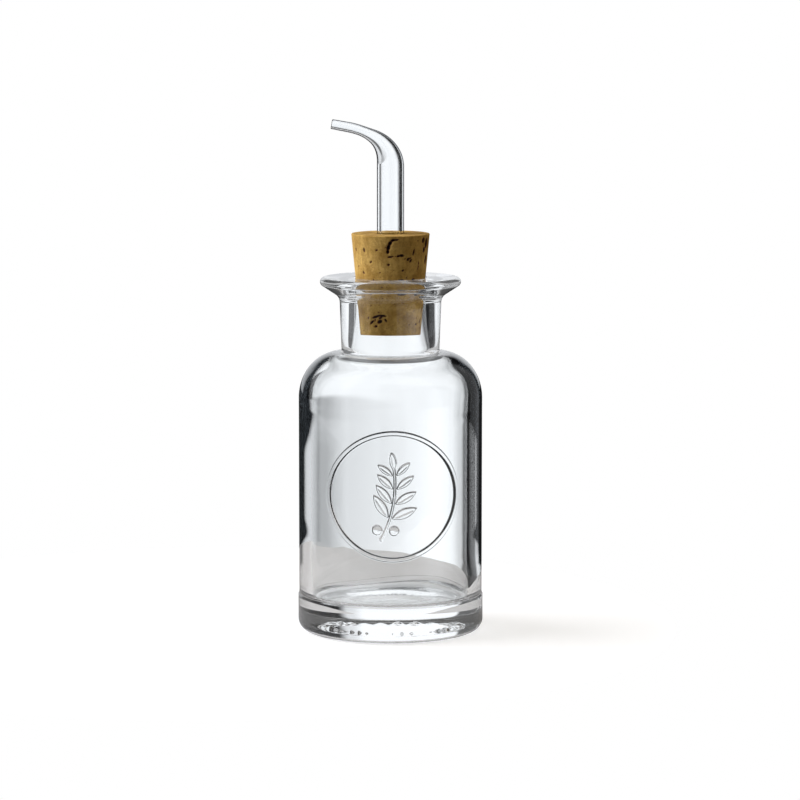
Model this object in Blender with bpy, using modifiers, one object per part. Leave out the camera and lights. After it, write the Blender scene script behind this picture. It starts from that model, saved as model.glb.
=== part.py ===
"""Oil and vinegar bottle: a glass bottle, a tapered cork stopper and a bent glass pouring tube.

Metres, +Z up. The origin is the centre of the ring that the bottle stands on. The round raised
seal on the bottle's wall faces -Y, and the nozzle of the pouring tube points to -X.
Run it with blender --background --python part.py, or from Blender's text editor.
"""

from math import asin, atan, cos, pi, radians, sin

import bmesh
import bpy
from mathutils import Vector

MM = 0.001

# Fits. Glass, cork and tube are pressed together in use; the solids keep a small gap all round.
FIT_GAP = 0.3 * MM
CUT_OVERRUN = 2.0 * MM
WELD_DISTANCE = 0.001 * MM

# Bottle, outside
BOTTLE_HEIGHT = 126.2 * MM
BODY_RADIUS = 32.6 * MM
BODY_TOP_HEIGHT = 83.3 * MM
SHOULDER_RISE = 16.2 * MM
NECK_RADIUS = 18.05 * MM
NECK_WAIST_RADIUS = 17.35 * MM
NECK_FOOT_ROUND = 1.1 * MM
FLANGE_RADIUS = 24.95 * MM
FLANGE_EDGE = 3.2 * MM
FLANGE_DEPTH = 7.0 * MM
FLANGE_ROOT_ROUND = 1.6 * MM
FOOT_BAND_STEP = 0.35 * MM
FOOT_BAND_HEIGHT = 13.2 * MM
HEEL_ROUND = 4.5 * MM
STANDING_RING_WIDTH = 3.0 * MM
PUNT_DEPTH = 1.8 * MM

# Bottle, inside
BODY_WALL = 4.6 * MM
SHOULDER_WALL = 4.4 * MM
FLOOR_THICKNESS = 11.4 * MM
FLOOR_DISH = 1.2 * MM
FLOOR_CORNER_ROUND = 3.6 * MM
THROAT_ROUND = 3.0 * MM
MOUTH_EDGE_ROUND = 1.0 * MM

# Raised seal on the front of the bottle: a round rib about a sprig with leaves and berries
SEAL_RADIUS = 22.1 * MM
SEAL_CENTRE_HEIGHT = 52.4 * MM
SEAL_RIB_RADIUS = 0.8 * MM
SEAL_RIB_RISE = 0.5 * MM
SPRIG_DROP = 3.0 * MM
TWIG_LENGTH = 26.0 * MM
TWIG_RADIUS = 0.6 * MM
TWIG_RISE = 0.35 * MM
TWIG_TURN = radians(44.0)
TWIG_LEAN = radians(68.0)
LEAF_LENGTH = 10.0 * MM
LEAF_WIDTH = 3.6 * MM
LEAF_RISE = 0.55 * MM
LEAF_ANGLE = radians(46.0)
BERRY_RADIUS = 1.7 * MM
BERRY_RISE = 0.9 * MM
BERRY_STALK = 1.0 * MM
LEAF_PLACE_SHARES = (0.3, 0.5, 0.7, 0.88)
BERRY_PLACE_SHARES = (0.1, 0.18)
LAST_LEAF_SIZE_SHARE = 0.7

# Cork stopper
CORK_LENGTH = 34.9 * MM
CORK_TOP_RADIUS = 13.85 * MM
CORK_FOOT_RADIUS = 10.6 * MM
CORK_DEPTH_IN_BOTTLE = 19.4 * MM
CORK_EDGE_ROUND = 0.7 * MM

# Pouring tube: straight stem, two arcs of a flame-drawn bend, straight nozzle
TUBE_RADIUS = 4.8 * MM
TUBE_WALL = 1.4 * MM
TUBE_STEM_LENGTH = 58.7 * MM
BEND_RADIUS = 12.0 * MM
BEND_TURN = radians(60.0)
SWEEP_RADIUS = 28.0 * MM
SWEEP_TURN = radians(19.5)
NOZZLE_LENGTH = 6.0 * MM
NOZZLE_ROOT_RADIUS = 2.1 * MM
NOZZLE_TIP_RADIUS = 1.75 * MM
NOZZLE_WALL = 0.5 * MM
DRAWN_LENGTH = 17.5 * MM

# Facets
BOTTLE_STEPS = 64
CORK_STEPS = 48
BIG_ROUND_STEPS = 8
ROUND_STEPS = 4
SMALL_ROUND_STEPS = 3
RIB_STEPS = 72
TWIG_STEPS = 12
BEND_STEPS = 10
SWEEP_STEPS = 4
LEAF_SIDES = 8
LEAF_RINGS = 6
FINE_SIDES_SETTING = 12
PLAIN_SIDES_SETTING = 2
SHARP_ANGLE = radians(40.0)

# Colours as (red, green, blue), linear
GLASS_COLOUR = (0.93, 0.97, 0.96)
TUBE_COLOUR = (0.96, 0.98, 0.98)
CORK_COLOUR = (0.47, 0.27, 0.10)

# Places that follow from the sizes above
FOOT_RADIUS = BODY_RADIUS + FOOT_BAND_STEP
NECK_FOOT_HEIGHT = BODY_TOP_HEIGHT + SHOULDER_RISE
CORK_FOOT_HEIGHT = BOTTLE_HEIGHT - CORK_DEPTH_IN_BOTTLE
CORK_TAPER = (CORK_TOP_RADIUS - CORK_FOOT_RADIUS) / CORK_LENGTH
CORK_BORE_RADIUS = TUBE_RADIUS + FIT_GAP
RIM_HEIGHT = BOTTLE_HEIGHT - MOUTH_EDGE_ROUND
NECK_BORE_RADIUS = CORK_FOOT_RADIUS + (RIM_HEIGHT - CORK_FOOT_HEIGHT) * CORK_TAPER + FIT_GAP


def clear_scene():
    """Removes whatever the file held."""
    for found in list(bpy.data.objects):
        bpy.data.objects.remove(found, do_unlink=True)


def new_collection(name):
    """A collection of its own under the scene."""
    made = bpy.data.collections.new(name)
    bpy.context.scene.collection.children.link(made)
    return made


def glass(name, colour):
    """Clear glass: fully transmissive, with a polished surface."""
    made = bpy.data.materials.new(name)
    made.use_nodes = True
    shader = made.node_tree.nodes["Principled BSDF"]
    shader.inputs["Base Color"].default_value = (*colour, 1.0)
    shader.inputs["Roughness"].default_value = 0.02
    shader.inputs["Metallic"].default_value = 0.0
    shader.inputs["IOR"].default_value = 1.51
    shader.inputs["Transmission Weight"].default_value = 1.0
    return made


def cork(name, colour):
    """Natural cork: matt and warm brown."""
    made = bpy.data.materials.new(name)
    made.use_nodes = True
    shader = made.node_tree.nodes["Principled BSDF"]
    shader.inputs["Base Color"].default_value = (*colour, 1.0)
    shader.inputs["Roughness"].default_value = 0.85
    shader.inputs["Metallic"].default_value = 0.0
    return made


def arc(centre_r, centre_z, size_r, size_z, start, end, steps):
    """Points (r, z) of an elliptical arc, from the angle start to the angle end, both included."""
    angles = (start + (end - start) * i / steps for i in range(steps + 1))
    return [(centre_r + size_r * cos(a), centre_z + size_z * sin(a)) for a in angles]


def blended_corner(before, corner, after, reach, steps):
    """Points (r, z) that round a corner: a parabola that leaves both its sides at reach from it."""
    before, corner, after = Vector(before), Vector(corner), Vector(after)
    start = corner + (before - corner).normalized() * reach
    end = corner + (after - corner).normalized() * reach
    points = []
    for i in range(steps + 1):
        share = i / steps
        points.append(tuple(start.lerp(corner, share).lerp(corner.lerp(end, share), share)))
    return points


def turned(name, profile, steps, closed, collection):
    """A profile of (r, z) points at +X, turned about Z with a Screw modifier."""
    count = len(profile)
    edges = [(i, (i + 1) % count) for i in range(count if closed else count - 1)]
    mesh = bpy.data.meshes.new(name)
    mesh.from_pydata([(r, 0.0, z) for r, z in profile], edges, [])
    made = bpy.data.objects.new(name, mesh)
    collection.objects.link(made)
    screw = made.modifiers.new("turn", "SCREW")
    screw.axis = "Z"
    screw.angle = 2 * pi
    screw.steps = steps
    screw.render_steps = steps
    screw.use_merge_vertices = True
    screw.merge_threshold = WELD_DISTANCE
    screw.use_smooth_shade = True
    return made


def bevelled_curve(name, points, sizes, cyclic, sides_setting, collection):
    """A tube on a POLY spline through the points, each with its own radius."""
    data = bpy.data.curves.new(name, "CURVE")
    data.dimensions = "3D"
    data.bevel_depth = sizes[0]
    data.bevel_resolution = sides_setting
    data.use_fill_caps = not cyclic
    spline = data.splines.new("POLY")
    spline.points.add(len(points) - 1)
    for knot, place, size in zip(spline.points, points, sizes):
        knot.co = (*place, 1.0)
        knot.radius = size / sizes[0]
    spline.use_cyclic_u = cyclic
    made = bpy.data.objects.new(name, data)
    collection.objects.link(made)
    return made


def meshed(source, collection):
    """A curve object made a mesh object with its caps welded. The curve is removed."""
    bpy.context.view_layer.update()
    name = source.name
    graph = bpy.context.evaluated_depsgraph_get()
    mesh = bpy.data.meshes.new_from_object(source.evaluated_get(graph))
    made = bpy.data.objects.new(name + "_mesh", mesh)
    made.matrix_world = source.matrix_world.copy()
    collection.objects.link(made)
    bpy.data.objects.remove(source, do_unlink=True)
    made.name = name
    work = bmesh.new()
    work.from_mesh(mesh)
    bmesh.ops.remove_doubles(work, verts=work.verts, dist=WELD_DISTANCE)
    bmesh.ops.recalc_face_normals(work, faces=work.faces)
    work.to_mesh(mesh)
    work.free()
    return made


def as_guide(helper):
    """Marks a cutter or a joined shape as no part of the object by itself."""
    helper.hide_render = True
    helper.display_type = "WIRE"


def body_inside():
    """The dished floor, its round corner, the wall and the shoulder, going up from the axis."""
    inner_radius = BODY_RADIUS - BODY_WALL
    corner_centre = inner_radius - FLOOR_CORNER_ROUND
    floor_edge = FLOOR_THICKNESS + FLOOR_DISH
    floor = []
    for i in range(SMALL_ROUND_STEPS):
        share = i / SMALL_ROUND_STEPS
        floor.append((corner_centre * share, FLOOR_THICKNESS + FLOOR_DISH * share * share))
    corner = arc(corner_centre, floor_edge + FLOOR_CORNER_ROUND,
                 FLOOR_CORNER_ROUND, FLOOR_CORNER_ROUND, -0.5 * pi, 0.0, ROUND_STEPS)
    throat_start = NECK_BORE_RADIUS + THROAT_ROUND
    shoulder = arc(throat_start, BODY_TOP_HEIGHT, inner_radius - throat_start,
                   SHOULDER_RISE - SHOULDER_WALL, 0.0, 0.5 * pi, BIG_ROUND_STEPS)[:-1]
    return floor + corner + shoulder


def mouth_inside():
    """The throat, the straight bore that the cork seats in at its top, and the round rim."""
    throat_height = NECK_FOOT_HEIGHT - SHOULDER_WALL
    throat = arc(NECK_BORE_RADIUS + THROAT_ROUND, throat_height + THROAT_ROUND,
                 THROAT_ROUND, THROAT_ROUND, 1.5 * pi, pi, ROUND_STEPS)
    rim = arc(NECK_BORE_RADIUS + MOUTH_EDGE_ROUND, RIM_HEIGHT, MOUTH_EDGE_ROUND, MOUTH_EDGE_ROUND,
              pi, 0.5 * pi, SMALL_ROUND_STEPS)
    return throat + rim


def flange_outside():
    """The flange's flat top, round edge, sloping underside and root, going down to the neck."""
    half_edge = FLANGE_EDGE / 2
    nose_radius = FLANGE_RADIUS - half_edge
    root = (NECK_RADIUS, BOTTLE_HEIGHT - FLANGE_DEPTH)
    slope = atan((FLANGE_DEPTH - FLANGE_EDGE) / (nose_radius - NECK_RADIUS))
    nose = arc(nose_radius, BOTTLE_HEIGHT - half_edge, half_edge, half_edge,
               0.5 * pi, -0.5 * pi + slope, 2 * SMALL_ROUND_STEPS)
    waist = (NECK_WAIST_RADIUS, NECK_FOOT_HEIGHT)
    return nose + blended_corner(nose[-1], root, waist, FLANGE_ROOT_ROUND, SMALL_ROUND_STEPS)


def body_outside():
    """Neck foot, shoulder, wall, foot band, heel and the ring it stands on, going down."""
    shoulder_start = NECK_WAIST_RADIUS + NECK_FOOT_ROUND
    neck_foot = arc(shoulder_start, NECK_FOOT_HEIGHT + NECK_FOOT_ROUND,
                    NECK_FOOT_ROUND, NECK_FOOT_ROUND, pi, 1.5 * pi, SMALL_ROUND_STEPS)
    shoulder = arc(shoulder_start, BODY_TOP_HEIGHT, BODY_RADIUS - shoulder_start, SHOULDER_RISE,
                   0.5 * pi, 0.0, BIG_ROUND_STEPS)[1:]
    band = [(BODY_RADIUS, FOOT_BAND_HEIGHT + FOOT_BAND_STEP), (FOOT_RADIUS, FOOT_BAND_HEIGHT)]
    heel = arc(FOOT_RADIUS - HEEL_ROUND, HEEL_ROUND, HEEL_ROUND, HEEL_ROUND,
               0.0, -0.5 * pi, ROUND_STEPS)
    punt_radius = FOOT_RADIUS - HEEL_ROUND - STANDING_RING_WIDTH
    punt = arc(0.0, 0.0, punt_radius, PUNT_DEPTH, 0.0, 0.5 * pi, ROUND_STEPS)[:-1]
    return neck_foot + shoulder + band + heel + punt + [(0.0, PUNT_DEPTH)]


def on_wall(across, up, proud):
    """A place on the front wall: across and up from the seal's centre as seen from the front."""
    turn = asin(across / BODY_RADIUS)
    radius = BODY_RADIUS + proud
    return Vector((radius * sin(turn), -radius * cos(turn), SEAL_CENTRE_HEIGHT + up))


def twig_place(share):
    """Across, up and heading at a share of the twig's length, from its foot 0 to its tip 1."""
    turn = TWIG_TURN * (share - 0.5)
    bow_radius = TWIG_LENGTH / TWIG_TURN
    along, rise = bow_radius * sin(turn), bow_radius * (1.0 - cos(turn))
    across = along * cos(TWIG_LEAN) - rise * sin(TWIG_LEAN)
    up = along * sin(TWIG_LEAN) + rise * cos(TWIG_LEAN) - SPRIG_DROP
    return across, up, TWIG_LEAN + turn


def pointed_body(name, across, up, heading, length, width, rise, point, collection):
    """A leaf or berry half sunk in the wall: a ball stretched along its heading. Its outline is
    a circle's to the power point, so 1 gives an oval and 2 gives two pointed ends."""
    work = bmesh.new()
    bmesh.ops.create_uvsphere(work, u_segments=LEAF_SIDES, v_segments=LEAF_RINGS, radius=1.0)
    for vert in work.verts:
        side, depth, axis = vert.co
        taper = max(1.0 - axis * axis, 0.0) ** (0.5 * (point - 1.0))
        along, aside = axis * length / 2, side * taper * width / 2
        place_across = across + along * cos(heading) - aside * sin(heading)
        place_up = up + along * sin(heading) + aside * cos(heading)
        vert.co = on_wall(place_across, place_up, depth * taper * rise)
    bmesh.ops.recalc_face_normals(work, faces=work.faces)
    mesh = bpy.data.meshes.new(name)
    work.to_mesh(mesh)
    work.free()
    made = bpy.data.objects.new(name, mesh)
    collection.objects.link(made)
    return made


def seal_rib(collection):
    """The raised ring: a circle as seen from the front, laid round the bottle's wall."""
    points = []
    for i in range(RIB_STEPS):
        turn = 2 * pi * i / RIB_STEPS
        points.append(on_wall(SEAL_RADIUS * cos(turn), SEAL_RADIUS * sin(turn),
                              SEAL_RIB_RISE - SEAL_RIB_RADIUS))
    rib = bevelled_curve("seal_rib", points, [SEAL_RIB_RADIUS] * RIB_STEPS, True,
                         PLAIN_SIDES_SETTING, collection)
    return meshed(rib, collection)


def sprig(collection):
    """A bowed twig with pairs of leaves, a leaf at its tip, and berries between the pairs."""
    shares = [i / TWIG_STEPS for i in range(TWIG_STEPS + 1)]
    points = [on_wall(*twig_place(share)[:2], TWIG_RISE - TWIG_RADIUS) for share in shares]
    twig = bevelled_curve("twig", points, [TWIG_RADIUS] * len(points), False,
                          PLAIN_SIDES_SETTING, collection)
    made = [meshed(twig, collection)]
    for number, share in enumerate(LEAF_PLACE_SHARES):
        size_share = 1.0 + (LAST_LEAF_SIZE_SHARE - 1.0) * number / (len(LEAF_PLACE_SHARES) - 1)
        length, width = LEAF_LENGTH * size_share, LEAF_WIDTH * size_share
        across, up, heading = twig_place(share)
        for side in (1.0, -1.0):
            leaf_heading = heading + side * LEAF_ANGLE
            reach = length / 2 + TWIG_RADIUS
            made.append(pointed_body("leaf", across + reach * cos(leaf_heading),
                                     up + reach * sin(leaf_heading), leaf_heading,
                                     length, width, LEAF_RISE, 2.0, collection))
    across, up, heading = twig_place(1.0)
    length, width = LEAF_LENGTH * LAST_LEAF_SIZE_SHARE, LEAF_WIDTH * LAST_LEAF_SIZE_SHARE
    made.append(pointed_body("tip_leaf", across + length / 2 * cos(heading),
                             up + length / 2 * sin(heading), heading,
                             length, width, LEAF_RISE, 2.0, collection))
    for number, share in enumerate(BERRY_PLACE_SHARES):
        across, up, heading = twig_place(share)
        side = -1.0 if number % 2 else 1.0
        reach = BERRY_STALK + BERRY_RADIUS
        made.append(pointed_body("berry", across - side * reach * sin(heading),
                                 up + side * reach * cos(heading), heading,
                                 2 * BERRY_RADIUS, 2 * BERRY_RADIUS, BERRY_RISE, 1.0, collection))
    return made


def make_bottle(collection, seal_shapes):
    """The moulded glass bottle, one piece with its flange and raised seal."""
    profile = body_inside() + mouth_inside() + flange_outside() + body_outside()
    bottle = turned("glass_bottle", profile, BOTTLE_STEPS, False, collection)
    for shape in [seal_rib(seal_shapes)] + sprig(seal_shapes):
        as_guide(shape)
    raised = bottle.modifiers.new("seal", "BOOLEAN")
    raised.operation = "UNION"
    raised.solver = "EXACT"
    raised.operand_type = "COLLECTION"
    raised.collection = seal_shapes
    bottle.data.materials.append(glass("clear_glass", GLASS_COLOUR))
    return bottle


def make_cork(collection, bottle):
    """The tapered stopper with its bore. Its origin is on the axis that it is drawn out along."""
    flank = atan(CORK_TAPER)
    edge = CORK_EDGE_ROUND
    top = arc(CORK_TOP_RADIUS - edge, CORK_LENGTH - edge, edge, edge,
              0.5 * pi, -flank, SMALL_ROUND_STEPS)
    foot = arc(CORK_FOOT_RADIUS - edge, edge, edge, edge, -flank, -0.5 * pi, SMALL_ROUND_STEPS)
    bore = [(CORK_BORE_RADIUS, 0.0), (CORK_BORE_RADIUS, CORK_LENGTH)]
    stopper = turned("cork_stopper", top + foot + bore, CORK_STEPS, True, collection)
    stopper.parent = bottle
    stopper.location = (0.0, 0.0, CORK_FOOT_HEIGHT)
    stopper.data.materials.append(cork("natural_cork", CORK_COLOUR))
    return stopper


def drawn_radius(travel, full, root, tip):
    """Radius along the bend: full at its start, drawn down smoothly to the nozzle's own taper."""
    bend_length = BEND_RADIUS * BEND_TURN + SWEEP_RADIUS * SWEEP_TURN + NOZZLE_LENGTH
    share = min(max(travel / DRAWN_LENGTH, 0.0), 1.0)
    left = 1.0 - share * share * (3.0 - 2.0 * share)
    nozzle_share = min(max(travel / bend_length, 0.0), 1.0)
    nozzle = root + (tip - root) * nozzle_share
    return nozzle + (full - root) * left


def tube_line(overrun):
    """The tube's centre line and the travel past the bend's start, as (point, travel) pairs."""
    place, heading, travel = Vector((0.0, 0.0, TUBE_STEM_LENGTH)), 0.5 * pi, 0.0
    line = [(Vector((0.0, 0.0, -overrun)), 0.0), (place.copy(), 0.0)]
    for radius, turn, steps in ((BEND_RADIUS, BEND_TURN, BEND_STEPS),
                                (SWEEP_RADIUS, SWEEP_TURN, SWEEP_STEPS)):
        centre = place + radius * Vector((-sin(heading), 0.0, cos(heading)))
        start = heading
        for i in range(1, steps + 1):
            heading = start + turn * i / steps
            place = centre + radius * Vector((sin(heading), 0.0, -cos(heading)))
            line.append((place.copy(), travel + radius * turn * i / steps))
        travel += radius * turn
    nozzle_way = Vector((cos(heading), 0.0, sin(heading)))
    line.append((place + nozzle_way * (NOZZLE_LENGTH + overrun), travel + NOZZLE_LENGTH))
    return line


def tube_body(name, overrun, inset, nozzle_inset, collection):
    """The tube's outer body, or with insets and an overrun the body of its bore."""
    line = tube_line(overrun)
    sizes = [drawn_radius(travel, TUBE_RADIUS - inset, NOZZLE_ROOT_RADIUS - nozzle_inset,
                          NOZZLE_TIP_RADIUS - nozzle_inset) for _, travel in line]
    curve = bevelled_curve(name, [place for place, _ in line], sizes, False,
                           FINE_SIDES_SETTING, collection)
    return meshed(curve, collection)


def make_tube(collection, cutters, stopper):
    """The glass pouring tube. Its origin is on the axis that it turns about in the cork."""
    tube = tube_body("pouring_tube", 0.0, 0.0, 0.0, collection)
    bore = tube_body("tube_bore", CUT_OVERRUN, TUBE_WALL, NOZZLE_WALL, cutters)
    tube.parent = stopper
    bore.parent = tube
    as_guide(bore)
    cut = tube.modifiers.new("bore", "BOOLEAN")
    cut.operation = "DIFFERENCE"
    cut.solver = "EXACT"
    cut.object = bore
    tube.data.shade_smooth()
    tube.data.set_sharp_from_angle(angle=SHARP_ANGLE)
    tube.data.materials.append(glass("tube_glass", TUBE_COLOUR))
    return tube


clear_scene()
parts = new_collection("oil_and_vinegar_bottle")
raised_shapes = new_collection("seal_shapes")
bore_cutters = new_collection("cutters")
glass_bottle = make_bottle(parts, raised_shapes)
cork_stopper = make_cork(parts, glass_bottle)
make_tube(parts, bore_cutters, cork_stopper)
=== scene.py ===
"""Looks of the oil and vinegar bottle: clear moulded glass, natural cork and a drawn glass tube."""

import bpy
import numpy as np
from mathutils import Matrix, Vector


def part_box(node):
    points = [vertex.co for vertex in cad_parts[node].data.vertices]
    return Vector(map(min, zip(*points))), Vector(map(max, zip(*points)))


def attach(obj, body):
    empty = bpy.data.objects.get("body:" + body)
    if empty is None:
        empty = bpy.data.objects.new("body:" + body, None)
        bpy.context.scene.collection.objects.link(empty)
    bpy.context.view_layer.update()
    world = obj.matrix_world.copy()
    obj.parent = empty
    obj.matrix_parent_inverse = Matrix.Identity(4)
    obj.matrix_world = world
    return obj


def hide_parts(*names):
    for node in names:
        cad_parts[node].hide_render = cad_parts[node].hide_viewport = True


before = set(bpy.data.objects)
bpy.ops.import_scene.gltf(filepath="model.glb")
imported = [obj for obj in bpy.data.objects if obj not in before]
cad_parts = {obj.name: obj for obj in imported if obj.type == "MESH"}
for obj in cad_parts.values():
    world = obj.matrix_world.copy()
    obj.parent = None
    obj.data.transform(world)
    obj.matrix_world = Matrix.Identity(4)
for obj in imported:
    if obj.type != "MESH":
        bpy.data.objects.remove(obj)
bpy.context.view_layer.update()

# Camera. It stands 1.27 m off, a shade to the left of the bottle's front, and looks down by 7 degrees. The
# shift is what the photograph's framing needs: the bottle stands left of the middle.
MM = 0.001
camera_distance, camera_height = 1270 * MM, 240.5 * MM
camera_turn, camera_tilt = np.radians(-1.6), np.radians(90.0 - 7.1)
camera_data = bpy.data.cameras.new("camera")
camera_data.sensor_width, camera_data.lens = 36.0, 162.0
camera_data.shift_x = 0.0119
camera_data.clip_start, camera_data.clip_end = 0.05, 20.0
camera = bpy.data.objects.new("camera", camera_data)
bpy.context.scene.collection.objects.link(camera)
bpy.context.scene.camera = camera
camera.location = (camera_distance * np.sin(camera_turn), -camera_distance * np.cos(camera_turn),
                   camera_height)
camera.rotation_euler = (camera_tilt, 0.0, camera_turn)
bpy.context.scene.view_settings.view_transform = "Standard"


# Glass bottle. One moulding of clear soda-lime glass: a thick round wall, a heavy base with a knurled
# hollow under it, a short neck with a wide flat lip, and a raised round seal on the front. It was pressed
# and then blown, so the outside is true to the mould and the inside is a little uneven.
bottle_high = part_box("glass_bottle")[1]
bottle_height, foot_radius = bottle_high.z, bottle_high.x
band_step, band_height = 0.35 * MM, 13.2 * MM
seam_drop, seam_height, seam_groove = 0.4 * MM, 0.9 * MM, 0.12 * MM
body_radius = foot_radius - band_step
body_top, shoulder_rise = 83.3 * MM, 16.2 * MM
neck_foot_height = body_top + shoulder_rise
neck_radius, neck_waist, neck_foot_round = 18.05 * MM, 17.35 * MM, 1.1 * MM
dome_start = neck_waist + neck_foot_round
flange_radius, flange_edge, flange_depth, flange_root = 24.95 * MM, 3.2 * MM, 7.0 * MM, 2.0 * MM
nose_half = flange_edge / 2
nose_radius = flange_radius - nose_half
heel_round, standing_width, ring_depth = 4.2 * MM, 2.4 * MM, 0.2 * MM
heel_radius = foot_radius - heel_round
standing_radius = heel_radius - standing_width
punt_radius, punt_depth = 25.0 * MM, 2.3 * MM
knurl_low, knurl_high, knurl_rise, knurl_bars = 13.0 * MM, 18.0 * MM, 1.2 * MM, 34
body_wall, shoulder_wall, dome_turn = 4.6 * MM, 4.4 * MM, 45.0
wall_waviness = 0.3 * MM
floor_thickness, floor_dish, floor_corner, corner_rise = 11.4 * MM, 1.0 * MM, 3.4 * MM, 1.8 * MM
floor_step, step_share, step_width = 0.25 * MM, 0.6, 0.08
mouth_round, bore_radius = 1.0 * MM, 12.62 * MM
bore_flare, flare_top, flare_foot = 1.4 * MM, 118.0 * MM, 102.0 * MM
throat_top_pull, throat_foot_pull = 4.0 * MM, 5.0 * MM
seal_radius, seal_height, seal_zone = 22.2 * MM, 52.4 * MM, 27.2 * MM
rib_half, rib_flank, rib_rise = 0.4 * MM, 0.55 * MM, 0.66 * MM
rib_width = rib_half + rib_flank


def arc(centre, size, start, end, count):
    """count points (r, z) of an ellipse from start to end in degrees: centre + size * (cos t, sin t)."""
    t = np.radians(np.linspace(start, end, count))
    return np.column_stack([centre[0] + size[0] * np.cos(t), centre[1] + size[1] * np.sin(t)])


def run(start, end, count):
    """count points evenly along the straight line from start to end, the end left out."""
    return np.linspace(start, end, count, endpoint=False)


def rounded(before, corner, after, reach, count):
    """A corner made a parabola, whose start and end lie at reach along the two sides. With s from 0 to 1
    it is start * (1 - s)^2 + corner * 2s(1 - s) + end * s^2."""
    before, corner, after = np.array(before), np.array(corner), np.array(after)
    start = corner + (before - corner) / np.linalg.norm(before - corner) * reach
    end = corner + (after - corner) / np.linalg.norm(after - corner) * reach
    s = np.linspace(0.0, 1.0, count)[:, None]
    return start * (1 - s) ** 2 + corner * 2 * s * (1 - s) + end * s**2


def bump(x):
    """A smooth hill: (1 - x^2)^2 where x is within -1 and 1, and 0 outside."""
    return np.clip(1 - x * x, 0.0, 1.0) ** 2


def eased(x):
    """0 below 0, 1 above 1, and 3x^2 - 2x^3 between."""
    x = np.clip(x, 0.0, 1.0)
    return x * x * (3 - 2 * x)


def turned_grid(profile, turns, offsets=0.0):
    """Points of a profile (r, z) carried round the axis: (r + d) * (sin t, -cos t), and z. The offset d
    has a value for each row and turn t, and a turn of 0 is the front."""
    r = profile[:, 0, None] + offsets
    z = np.repeat(profile[:, 1, None], len(turns), axis=1)
    return np.stack([r * np.sin(turns), -r * np.cos(turns), z], axis=2)


def strip(low, low_turns, high, high_turns):
    """Triangles between two rings of vertex numbers with different counts. Both start at the same turn.
    Each edge's third corner is the vertex of the other ring before which as many edge middles lie."""
    low_middle = (low_turns + np.append(low_turns[1:], low_turns[0] + 2 * np.pi)) / 2
    high_middle = (high_turns + np.append(high_turns[1:], high_turns[0] + 2 * np.pi)) / 2
    above = np.searchsorted(high_middle, low_middle) % len(high)
    below = np.searchsorted(low_middle, high_middle, side="right") % len(low)
    up = np.stack([low, np.roll(low, -1), high[above]], axis=1)
    down = np.stack([high, low[below], np.roll(high, -1)], axis=1)
    return np.vstack([up, down])


def turned_net(grids, turns, ends):
    """Points, quads and triangles of grids whose rows each go round once, every grid at its own turns,
    joined one to the next, and the grids' vertex numbers. With ends "poles" the first and last rows are
    closed with one point each, and with ends "joined" the last row is joined to the first."""
    quads, triangles, numbers, count = [], [], [], 0
    for grid in grids:
        rows, columns = grid.shape[:2]
        index = np.arange(rows * columns).reshape(rows, columns) + count
        count += rows * columns
        numbers.append(index)
        if ends == "joined":
            index = np.vstack([index, index[:1]])
        index = np.hstack([index, index[:, :1]])
        corners = np.stack([index[:-1, :-1], index[:-1, 1:], index[1:, 1:], index[1:, :-1]], axis=2)
        quads.append(corners.reshape(-1, 4))
    for low, high, low_turns, high_turns in zip(numbers, numbers[1:], turns, turns[1:]):
        triangles.append(strip(low[-1], low_turns, high[0], high_turns))
    points = [grid.reshape(-1, 3) for grid in grids]
    if ends == "poles":
        points += [grids[0][0].mean(axis=0)[None], grids[-1][-1].mean(axis=0)[None]]
        first, last = numbers[0][0], numbers[-1][-1]
        triangles.append(np.stack([np.full(len(first), count), np.roll(first, -1), first], axis=1))
        triangles.append(np.stack([np.full(len(last), count + 1), last, np.roll(last, -1)], axis=1))
    return np.vstack(points), np.vstack(quads), np.vstack(triangles or [np.zeros((0, 3), int)]), numbers


def smooth_mesh(name, points, quads, triangles):
    """A smooth-shaded object of these faces."""
    mesh = bpy.data.meshes.new(name)
    mesh.from_pydata(points, [], quads.tolist() + triangles.tolist())
    mesh.update()
    mesh.shade_smooth()
    made = bpy.data.objects.new(name, mesh)
    bpy.context.scene.collection.objects.link(made)
    return made


class Wire:
    """A number in a shader: an output socket. Its sums and products add Math nodes."""

    def __init__(self, socket):
        self.socket = socket

    def math(self, operation, *others, first=False):
        """A Math node on this number and the others, with this one first unless others go before it."""
        node = self.socket.id_data.nodes.new("ShaderNodeMath")
        node.operation = operation
        values = [*others, self] if first else [self, *others]
        for socket, value in zip(node.inputs, values):
            plug(socket, value)
        return Wire(node.outputs[0])

    def __add__(self, other):
        return self.math("ADD", other)

    def __sub__(self, other):
        return self.math("SUBTRACT", other)

    def __rsub__(self, other):
        return self.math("SUBTRACT", other, first=True)

    def __mul__(self, other):
        return self.math("MULTIPLY", other)

    __radd__ = __add__
    __rmul__ = __mul__


def plug(socket, value):
    """Links a Wire or a socket to an input, or sets the input's own value."""
    if isinstance(value, Wire):
        value = value.socket
    if isinstance(value, bpy.types.NodeSocket):
        socket.id_data.links.new(value, socket)
    else:
        socket.default_value = value


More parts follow.
